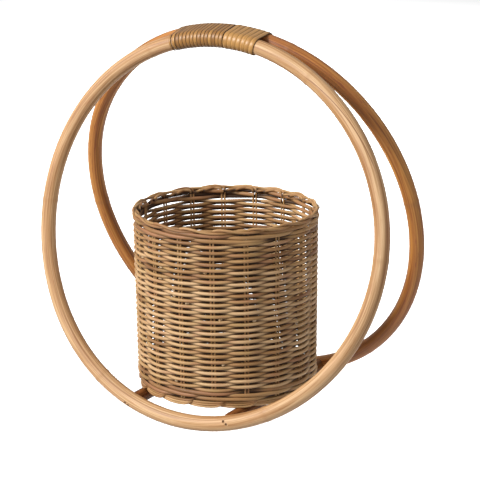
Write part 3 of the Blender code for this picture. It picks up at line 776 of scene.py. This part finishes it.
def buildWindingTree(sizes):
    graph = GeometryGraph("caneWinding", sizes)
    given = graph.inputs
    spine = graph.make("GeometryNodeMeshToCurve", [graph.given.also("Geometry")])
    count = given["turns"] * given["stepsPerTurn"] + 1.0
    spine = graph.make("GeometryNodeResampleCurve", {"Curve": spine, "Count": count})
    across = graph.named("across", "FLOAT_VECTOR")
    down = graph.named("down", "FLOAT_VECTOR")
    half = graph.named("spread")
    reach = given["reach"] + given["thickness"] / 2.0
    quarter = reach * math.pi
    # one lap: half the flat below, round the front pole, the flat on top, round the rear pole, half the
    # flat below
    lap = graph.index / given["stepsPerTurn"]
    walked = (lap % 1.0) * (half * 4.0 + quarter * 2.0)
    firstArc = (walked - half).clamped(0.0, quarter)
    secondArc = (walked - half * 3.0 - quarter).clamped(0.0, quarter)
    bearing = (firstArc + secondArc) / reach
    flat = (walked.math("MINIMUM", half) - (walked - half - quarter).clamped(0.0, half * 2.0)
            + (walked - half * 3.0 - quarter * 2.0).math("MAXIMUM", 0.0))
    aside = graph.scaled(across, 0.0 - flat - reach * sine(bearing))
    away = graph.scaled(down, reach * cosine(bearing))
    upright = graph.scaled(down, cosine(bearing))
    normal = graph.vectorMath("SUBTRACT", upright, graph.scaled(across, sine(bearing)))
    spine = graph.store(spine, "facing", normal, "FLOAT_VECTOR")
    # painted shade: 1 on the flats between the poles and on the belly, 0 round the poles' sides
    rounding = sine(firstArc / quarter * math.pi) + sine(secondArc / quarter * math.pi)
    belly = cosine(bearing) * given["bellyShade"] + given["bellyMore"]
    paintedCaneShade = ((1.0 - rounding * given["sideShade"]) * given["topShade"]).math("MAXIMUM", belly)
    spine = graph.store(spine, "paintedCaneShade", paintedCaneShade.clamped(0.0, 1.0))
    strand = graph.moved(spine, offset=graph.vectorMath("ADD", aside, away))
    strand = graph.faced(strand, graph.named("facing", "FLOAT_VECTOR"))
    strand = graph.wander(strand, given["wander"], given["wanderSize"], given["seed"])
    # the strip starts narrow and gains width from turn to turn
    taper = (given["tail"] + graph.index / given["stepsPerTurn"] * given["tailGain"]).math("MINIMUM", 1.0)
    tube = graph.sweep(strand, given["thickness"], given["width"], given["sides"], taper)
    return graph.finish(tube)


windingTree = buildWindingTree(fineCane)


def makeBinding(name, arc, winding, finish):
    start, end = arc
    angles = [start + (end - start) * i / cane["stations"] for i in range(cane["stations"] + 1)]
    stations = [bindingStation(angle) for angle in angles]
    mesh = routeMesh(name, [[(station[0], 1.0) for station in stations]])
    for key, column in (("across", 1), ("down", 2)):
        attribute = mesh.attributes.new(key, "FLOAT_VECTOR", "POINT")
        attribute.data.foreach_set("vector", [value for station in stations for value in station[column]])
    spread = mesh.attributes.new("spread", "FLOAT", "POINT")
    spread.data.foreach_set("value", [station[3] for station in stations])
    strand = grow(dashed(name), windingTree, winding, finish, mesh)
    place(strand, "binding_cane", name)


makeBinding("fine_cane_binding", fineArc, fineCane, goldenCane)
makeBinding("wide_cane_binding", wideArc, wideCane, broadCane)


# Basket

basket = {
    "stakes": 17, "centreBack": -0.0057, "foot": -0.40429, "footRadius": 0.108083, "rimRadius": 0.110883,
    "height": 0.21526, "stakeDepth": 0.0046,
}
stakeAngle = fullTurn / basket["stakes"]


def stakeRadius(z):
    # the circle that the stakes stand on, inside the flaring wall
    share = (z - basket["foot"]) / basket["height"]
    flare = basket["rimRadius"] - basket["footRadius"]
    return basket["footRadius"] + flare * share - basket["stakeDepth"]


weaver = {
    "stakes": basket["stakes"], "over": 1.0, "under": 1.0, "phase": 0.0, "stepsPerStake": 12,
    "rounds": 13.0, "firstStake": 0.0, "radius": 0.105, "radiusPerRow": 0.0, "bottom": -0.385,
    "rise": 0.00343, "lowest": -1.0, "highest": 1.0, "radialSwing": 0.0024, "verticalSwing": 0.0,
    "radialTwist": 0.0, "verticalTwist": 0.0, "depth": 0.0036, "thickness": 0.0040, "unevenness": 0.16,
    "bumpsPerMetre": 40.0, "underside": 0.5, "sides": 8, "centreBack": basket["centreBack"],
    "wander": 0.0003, "wanderSize": 0.02, "seed": 1,
}


def buildWeaveTree(sizes):
    # a strand that spirals round the stakes, over some and under others
    graph = GeometryGraph("wovenStrand", sizes)
    given = graph.inputs
    count = given["rounds"] * given["stakes"] * given["stepsPerStake"] + 1.0
    line = graph.make("GeometryNodeCurvePrimitiveLine")
    line = graph.make("GeometryNodeResampleCurve", {"Curve": line, "Count": count})
    gone = graph.index / given["stepsPerStake"]
    stake = gone + given["firstStake"]
    row = gone / given["stakes"]
    period = given["over"] + given["under"]
    middle = (given["over"] - 1.0) / 2.0 + given["phase"]
    apart = (stake - middle + period / 2.0) % period - period / 2.0
    face = ((given["over"] / 2.0 - apart.math("ABSOLUTE")) / 0.5).clamped(-1.0, 1.0)
    swing = sine(face * (math.pi / 2))
    twist = sine(apart / period * fullTurn)
    radius = (given["radius"] + row * given["radiusPerRow"] + swing * given["radialSwing"]
              + twist * given["radialTwist"])
    height = (given["bottom"] + row * given["rise"]).clamped(given["lowest"], given["highest"])
    height = height + swing * given["verticalSwing"] + twist * given["verticalTwist"]
    angle = stake * fullTurn / given["stakes"]
    spot = graph.vector(radius * sine(angle), given["centreBack"] - radius * cosine(angle), height)
    strand = graph.moved(graph.store(line, "swing", swing), position=spot)
    strand = graph.wander(strand, given["wander"], given["wanderSize"], given["seed"])
    tone = graph.make("FunctionNodeRandomValue", {2: 0.0, 3: 1.0, "ID": given["seed"]}, 1)
    strand = graph.store(strand, "tone", tone, domain="CURVE")
    # the section turns its first axis the way that the strand swings
    swung = graph.vector(sine(angle) * given["radialSwing"], 0.0 - cosine(angle) * given["radialSwing"],
                         given["verticalSwing"])
    strand = graph.faced(strand, swung)
    noise = graph.noise(given["seed"] * seedStep["girth"], given["bumpsPerMetre"], 1.0)
    girth = 1.0 + (noise - 0.5) * given["unevenness"] * 2.0
    tube = graph.sweep(strand, given["depth"], given["thickness"], given["sides"], girth)
    # painted shade: 1 where the skin faces the middle of the wall, 0 where it faces away; the underside is
    # darkened too
    side = graph.parts(graph.named("grain", "FLOAT_VECTOR"))
    nook = (0.5 - graph.named("swing") * side.also(1) / given["depth"]
            + side.also(2) / given["thickness"] * given["underside"])
    tube = graph.store(tube, "nook", nook)
    tube = graph.make("GeometryNodeRemoveAttribute", {"Geometry": tube, "Name": "swing"})
    return graph.finish(tube)


weaveTree = buildWeaveTree(weaver)


def weave(name, sizes, node):
    place(grow(name, weaveTree, sizes, strawReed), "basket_reed", node)


# weavers counts the stakes that each of the four long weavers passes
wall = {
    "bottom": -0.38469, "top": -0.20633, "rows": 52, "firstStake": -8, "weavers": (222, 220, 222, 220),
    "short": 0.2,
}
rowPitch = (wall["top"] - wall["bottom"]) / wall["rows"]


def rowHeight(stroke):
    # the spiral's height after this many stakes
    return wall["bottom"] + rowPitch * (0.5 + stroke / basket["stakes"])


def makeWall():
    # each weaver starts behind the stake where the last one ran out
    stake = wall["firstStake"]
    for i, passed in enumerate(wall["weavers"]):
        bottom = rowHeight(stake)
        radius = stakeRadius(bottom)
        gain = stakeRadius(bottom + rowPitch) - radius
        sizes = {
            **weaver, "rounds": (passed - wall["short"]) / basket["stakes"], "firstStake": float(stake),
            "phase": 1.0, "radius": radius, "radiusPerRow": gain, "bottom": bottom, "rise": rowPitch,
            "lowest": wall["bottom"] + rowPitch / 2, "highest": wall["top"] - rowPitch / 2, "seed": i + 1,
        }
        weave(f"wall-weaver-{i + 1}", sizes, "basket_wall")
        stake += passed


makeWall()

wale = {
    "rods": 3, "pitch": 0.00345, "thickness": 0.0046, "depth": 0.0040, "swing": 0.0021, "slant": -0.0007,
    "start": 8.0, "seed": 20,
}


def makeWale(name, bottom):
    # three rods, each over two stakes and under one, a stake apart
    for i in range(wale["rods"]):
        height = bottom + wale["pitch"] * (i + 0.5)
        sizes = {
            **weaver, "over": 2.0, "under": 1.0, "phase": float(i), "rounds": 1.0,
            "firstStake": wale["start"] + i, "radius": stakeRadius(height), "bottom": height, "rise": 0.0,
            "thickness": wale["thickness"], "depth": wale["depth"], "radialSwing": wale["swing"],
            "verticalTwist": wale["slant"], "seed": wale["seed"] + i,
        }
        weave(f"{dashed(name)}-rod-{i + 1}", sizes, name)


makeWale("foot_wale", -0.39525)
makeWale("rim_wale", -0.20627)


# strands round the basket, by routes on the stake circle
ringSizes = {**routeSizes, "centreBack": basket["centreBack"]}
everyStake = {"copies": basket["stakes"], "copyAngle": stakeAngle}


def ringSpot(around, outward, height):
    # a place near the stake circle: stakes gone round, metres outward, height
    radius = stakeRadius(height) + outward
    angle = around * stakeAngle
    return Vector((radius * math.sin(angle), -radius * math.cos(angle), height))


stakes = {
    "spacing": 0.0036, "thickness": 0.0023, "bottom": -0.3955, "top": -0.1960, "points": 24,
    "wander": 0.0003, "wanderSize": 0.03, "seed": 40,
}


def makeStakes():
    # a pair at each place
    routes = []
    rise = (stakes["top"] - stakes["bottom"]) / stakes["points"]
    heights = [stakes["bottom"] + rise * i for i in range(stakes["points"] + 1)]
    for aside in (-0.5, 0.5):
        share = aside * stakes["spacing"] / (stakeRadius(stakes["bottom"]) * stakeAngle)
        routes.append([(ringSpot(share, 0.0, height), 1.0) for height in heights])
    sizes = {
        **ringSizes, **everyStake, "thickness": stakes["thickness"], "wander": stakes["wander"],
        "wanderSize": stakes["wanderSize"], "seed": stakes["seed"],
    }
    nodes = [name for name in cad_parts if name.startswith("stake_")]
    makeStrands("stakes", sizes, paleReed, routes, "stake_reed", *nodes)


makeStakes()

# A weaver's end is left in a slot beside a stake. The seen places are (strokes up the spiral, side of the
# stake), and the steps of the path are (stakes aside, metres outward, share of the lift)
reedEnds = {
    "thickness": 0.0029, "reach": 0.28, "reachVaries": 0.06, "lift": (-0.0004, 0.0006),
    "path": ((0.12, -0.0026, 0.0), (0.0, -0.0006, 0.6), (-0.06, 0.0016, 1.0)), "smoothing": 4,
    "seen": ((698, -1), (628, 1), (696, 1), (764, 1), (578, -1), (544, -1), (410, 1), (344, -1)),
    "more": 34, "strokePairs": (8, 430), "seed": 12, "toneSeed": 50,
}


def makeReedEnds():
    random = Random(reedEnds["seed"])
    places = list(reedEnds["seen"])
    while len(places) < len(reedEnds["seen"]) + reedEnds["more"]:
        places.append((2 * random.randrange(*reedEnds["strokePairs"]), random.choice((-1, 1))))
    routes = []
    for stroke, side in places:
        height = rowHeight(stroke)
        lift = random.uniform(*reedEnds["lift"])
        reach = reedEnds["reach"] + random.uniform(-reedEnds["reachVaries"], reedEnds["reachVaries"])
        spots = [ringSpot(stroke + side * (reach + aside), outward, height + lift * share)
                 for aside, outward, share in reedEnds["path"]]
        routes.append([(spot, 1.0) for spot in smoothed(spots, reedEnds["smoothing"])])
    sizes = {**ringSizes, "thickness": reedEnds["thickness"], "seed": reedEnds["toneSeed"]}
    makeStrands("reed-ends", sizes, cutReed, routes, "basket_reed", "basket_wall")


makeReedEnds()

# Each border route is (stakes gone round, metres outward, metres above the seat)
rimBorder = {
    "seat": -0.1955, "thickness": 0.0031, "wander": 0.0002, "wanderSize": 0.02, "smoothing": 5, "seed": 61,
    "routes": (
        ((-0.05, 0.0, -0.003), (-0.04, 0.0002, 0.0006), (0.03, 0.0010, 0.0030), (0.22, 0.0018, 0.0046),
         (0.48, 0.0026, 0.0038), (0.75, 0.0032, 0.0020), (1.0, 0.0034, 0.0011), (1.25, 0.0024, 0.0009),
         (1.50, 0.0, 0.0010), (1.75, -0.0028, 0.0006), (1.95, -0.0038, -0.0012)),
        ((0.05, 0.0, -0.003), (0.06, -0.0003, 0.0000), (0.12, -0.0005, 0.0016), (0.30, -0.0003, 0.0024),
         (0.55, 0.0006, 0.0024), (0.80, 0.0010, 0.0028), (1.02, 0.0012, 0.0033), (1.22, 0.0004, 0.0030),
         (1.45, -0.0022, 0.0020), (1.65, -0.0038, -0.0004)),
    ),
}
footBorder = {
    **rimBorder, "seat": -0.40429, "thickness": 0.0029, "seed": 67,
    "routes": (
        *(((-0.19, -0.0030, 0.0034 + 0.0006 * j), (0.06, -0.0018, 0.0027 + 0.0012 * j),
           (0.24, -0.0010, 0.0020 + 0.0019 * j), (0.42, -0.0002, 0.0014 + 0.0024 * j),
           (0.66, 0.0006 + 0.0003 * (j % 2), 0.0011 + 0.0026 * j),
           (0.90, 0.0014 + 0.0003 * (j % 2), 0.0014 + 0.0026 * j), (1.08, 0.0020, 0.0023 + 0.0023 * j),
           (1.20 + 0.01 * j, 0.0018, 0.0040 + 0.0016 * j), (1.29 + 0.01 * j, 0.0002, 0.0060 + 0.0008 * j),
           (1.36, -0.0034, 0.0080)) for j in range(3)),
        *([(around, -0.0038, 0.0018 + 0.0027 * j) for around in (0.0, 0.5, 1.03)] for j in range(3)),
    ),
}


def makeBorder(name, border):
    routes = []
    for route in border["routes"]:
        spots = [ringSpot(around, outward, border["seat"] + up) for around, outward, up in route]
        routes.append([(spot, 1.0) for spot in smoothed(spots, border["smoothing"])])
    sizes = {
        **ringSizes, **everyStake, "thickness": border["thickness"], "hiddenEnds": 1.0,
        "wander": border["wander"], "wanderSize": border["wanderSize"], "seed": border["seed"],
    }
    makeStrands(dashed(name), sizes, strawReed, routes, "basket_reed", name)


makeBorder("rim_border", rimBorder)
makeBorder("foot_border", footBorder)

base = {
    "spokes": 16, "height": -0.3940, "inner": 0.0098, "outer": 0.1008, "pitch": 0.0032,
    "thickness": 0.0029, "swing": 0.0023, "stepsPerStake": 6, "sides": 6, "wander": 0.0002, "seed": 70,
}


def makeBaseRound():
    # two weavers side by side, each over the sticks that the other goes under
    sizes = {
        **weaver, "stakes": base["spokes"], "rounds": (base["outer"] - base["inner"]) / base["pitch"],
        "radius": base["inner"], "radiusPerRow": base["pitch"], "bottom": base["height"], "rise": 0.0,
        "radialSwing": 0.0, "verticalSwing": base["swing"], "radialTwist": base["thickness"] / 2,
        "stepsPerStake": base["stepsPerStake"], "depth": base["thickness"], "thickness": base["thickness"],
        "underside": 0.0, "sides": base["sides"], "wander": base["wander"],
    }
    for i in range(2):
        sizes.update({"phase": float(i), "seed": base["seed"] + i})
        weave(f"base-weaver-{i + 1}", sizes, "base_round")


sticks = {
    "perQuarter": 4, "pitch": 0.0043, "thickness": 0.0029, "lift": 0.0007, "crossing": 1.45,
    "crossingSteps": 7, "smoothing": 6, "bendIn": 0.55, "bendOut": 1.15, "halfway": 0.6, "overrun": 0.002,
    "seed": 80,
}


def stickRoute(quarter, rank):
    # side by side where they cross in the middle, then fanned out like spokes
    aside = rank * sticks["pitch"]
    angle = rank * fullTurn / base["spokes"]
    lift = sticks["lift"] * (1 if quarter % 2 else -1)
    reaches = (base["inner"] * sticks["bendOut"], base["outer"] * sticks["halfway"],
               base["outer"] + sticks["overrun"])
    spots = [(0.0, aside, lift), (base["inner"] * sticks["bendIn"], aside, lift)]
    spots += [(math.cos(angle) * reach, math.sin(angle) * reach, 0.0) for reach in reaches]
    facing = Matrix.Rotation(quarter * math.pi / 2, 3, "Z")
    centre = Vector((0, basket["centreBack"], base["height"]))
    spots = [facing @ Vector(spot) + centre for spot in spots]
    # fattest where they cross, so no light comes between
    return [(spot, sticks["crossing"] if step < sticks["crossingSteps"] else 1.0)
            for step, spot in enumerate(smoothed(spots, sticks["smoothing"]))]


def makeBaseSticks():
    middle = (sticks["perQuarter"] - 1) / 2
    routes = [stickRoute(quarter, i - middle) for quarter in range(4) for i in range(sticks["perQuarter"])]
    sizes = {**routeSizes, "thickness": sticks["thickness"], "seed": sticks["seed"]}
    makeStrands("base-sticks", sizes, paleReed, routes, "stake_reed", "base_slath")


makeBaseRound()
makeBaseSticks()


# Camera, floor and light

camera = {
    "place": (1.19548, -2.05796, 0.41365), "lens": 156.14, "sensor": 36.0, "farthest": 60.0,
    "right": (0.86886806, 0.49493709, -0.01027485), "up": (-0.12113656, 0.23268954, 0.96497747),
    "back": (0.47999399, -0.83719344, 0.26213149),
}
studio = {
    "floorDrop": 0.9, "floorReach": 14.0, "floorColour": (0.86, 0.86, 0.86), "floorRoughness": 0.9,
    "skyStrength": 0.5,
}
lamps = {
    "key": {
        "place": (-1.6, -2.55, 1.75), "aim": (0.0, 0.0, -0.2), "size": 1.2, "power": 18.0,
        "spread": math.radians(60), "colour": (1.0, 0.97, 0.93),
    },
    "backdrop": {
        "place": (-2.6, 4.7, 3.0), "aim": (-2.6, 4.7, -1.3), "size": 6.0, "power": 260.0,
        "spread": math.radians(70), "colour": (1.0, 1.0, 1.0),
    },
}


def makeCamera():
    data = bpy.data.cameras.new("photoView")
    data.lens = camera["lens"]
    data.sensor_width = camera["sensor"]
    data.clip_end = camera["farthest"]
    view = bpy.data.objects.new("photoView", data)
    turn = Matrix((camera["right"], camera["up"], camera["back"])).transposed()
    view.matrix_world = Matrix.Translation(camera["place"]) @ turn.to_4x4()
    bpy.context.collection.objects.link(view)
    bpy.context.scene.camera = view


def makeFloor():
    reach = studio["floorReach"]
    height = cadBox[0][2] - studio["floorDrop"]
    corners = [(x * reach, y * reach, height) for x, y in ((-1, -1), (1, -1), (1, 1), (-1, 1))]
    mesh = bpy.data.meshes.new("floor")
    mesh.from_pydata(corners, [], [(0, 1, 2, 3)])
    floor = bpy.data.objects.new("floor", mesh)
    bpy.context.collection.objects.link(floor)
    paint = MaterialGraph("floorPaint")
    colour = opaque(studio["floorColour"])
    mesh.materials.append(paint.apply(baseColor=colour, roughness=studio["floorRoughness"]))


def makeSky():
    world = bpy.data.worlds.new("studio")
    world.use_nodes = True
    sky = world.node_tree.nodes["Background"]
    sky.inputs["Color"].default_value = opaque((1.0, 1.0, 1.0))
    sky.inputs["Strength"].default_value = studio["skyStrength"]
    bpy.context.scene.world = world
    bpy.context.scene.view_settings.view_transform = "Standard"


def makeLamp(name, lamp):
    data = bpy.data.lights.new(name, "AREA")
    data.size = lamp["size"]
    data.energy = lamp["power"]
    data.color = lamp["colour"]
    data.spread = lamp["spread"]
    light = bpy.data.objects.new(name, data)
    way = Vector(lamp["aim"]) - Vector(lamp["place"])
    light.location = lamp["place"]
    light.rotation_euler = way.to_track_quat("-Z", "Y").to_euler()
    bpy.context.collection.objects.link(light)


makeCamera()
makeFloor()
makeSky()
for name, lamp in lamps.items():
    makeLamp(name, lamp)
print("studio set")
